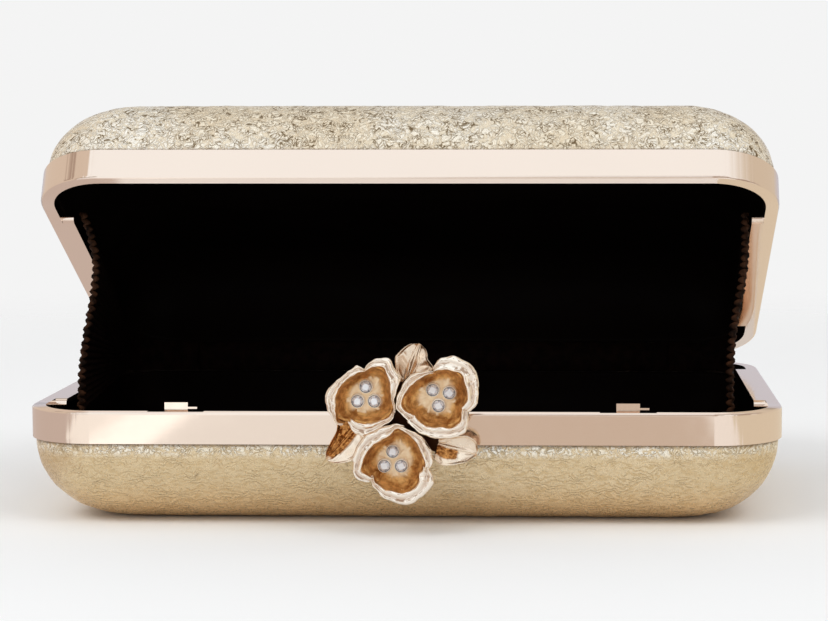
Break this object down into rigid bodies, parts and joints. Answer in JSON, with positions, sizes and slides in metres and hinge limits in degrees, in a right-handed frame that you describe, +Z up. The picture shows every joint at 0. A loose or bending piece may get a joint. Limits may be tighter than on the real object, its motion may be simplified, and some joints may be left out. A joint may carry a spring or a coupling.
{
  "type": "clutch bag",
  "caption": "Hinged box clutch with two moulded leather-covered halves in metal frames, pleated side gussets and a sprung flower clasp, standing open.",
  "frame": {"origin": "centre of the flat face under the base half, on which the bag rests", "axes": "+X to the right along the bag's width, -Y out of the front where the clasp is, +Z up"},
  "size_m": [0.19, 0.1356, 0.1043],
  "materials": {
    "gold_leather": "crinkled metallic gold leather",
    "rose_gold": "polished pale rose-gold plating",
    "copper_gold": "cast metal, polished petal rims over brushed copper-gold cups",
    "shell_plastic": "moulded shell, hidden between cover and lining",
    "dark_lining": "near-black brown satin lining",
    "gusset_fabric": "ruched dark brown fabric",
    "spring_steel": "drawn spring wire",
    "clear_stone": "faceted clear crystal"
  },
  "bodies": {
    "base": {"base_shell": "shell_plastic", "base_cover": "gold_leather", "base_frame": "rose_gold", "base_lining": "dark_lining", "guide_lugs": "rose_gold", "gusset_strips_base": "rose_gold", "hinge_leaves_base": "rose_gold", "hinge_pins": "rose_gold", "hinge_rivets_base": "rose_gold", "clasp_bracket": "rose_gold", "bracket_rivets": "rose_gold", "clasp_pin": "rose_gold", "clasp_spring": "spring_steel", "gusset_left": "gusset_fabric", "gusset_right": "gusset_fabric", "gusset_back": "gusset_fabric"},
    "lid": {"lid_shell": "shell_plastic", "lid_cover": "gold_leather", "lid_frame": "rose_gold", "lid_lining": "dark_lining", "gusset_strips_lid": "rose_gold", "hinge_leaves_lid": "rose_gold", "hinge_rivets_lid": "rose_gold"},
    "clasp": {"clasp_plate": "copper_gold", "flower_left": "copper_gold", "flower_right": "copper_gold", "flower_lower": "copper_gold", "leaf_top": "rose_gold", "leaf_left": "rose_gold", "leaf_right": "rose_gold", "stone_settings": "rose_gold", "stones": "clear_stone"}
  },
  "joints": [
    {"name": "lid_hinge", "type": "hinge", "parent": "base", "child": "lid", "pos_m": [0, 0.0609, 0.02915], "axis": [-1, 0, 0], "range_deg": [-28.5, 0], "deforming": ["gusset_left", "gusset_right", "gusset_back"]},
    {"name": "clasp_rock", "type": "hinge", "parent": "base", "child": "clasp", "pos_m": [0, -0.0613, 0.025], "axis": [1, 0, 0], "range_deg": [-2.5, 8], "stiffness_Nm_per_rad": 0.4, "deforming": ["clasp_spring"]}
  ]
}
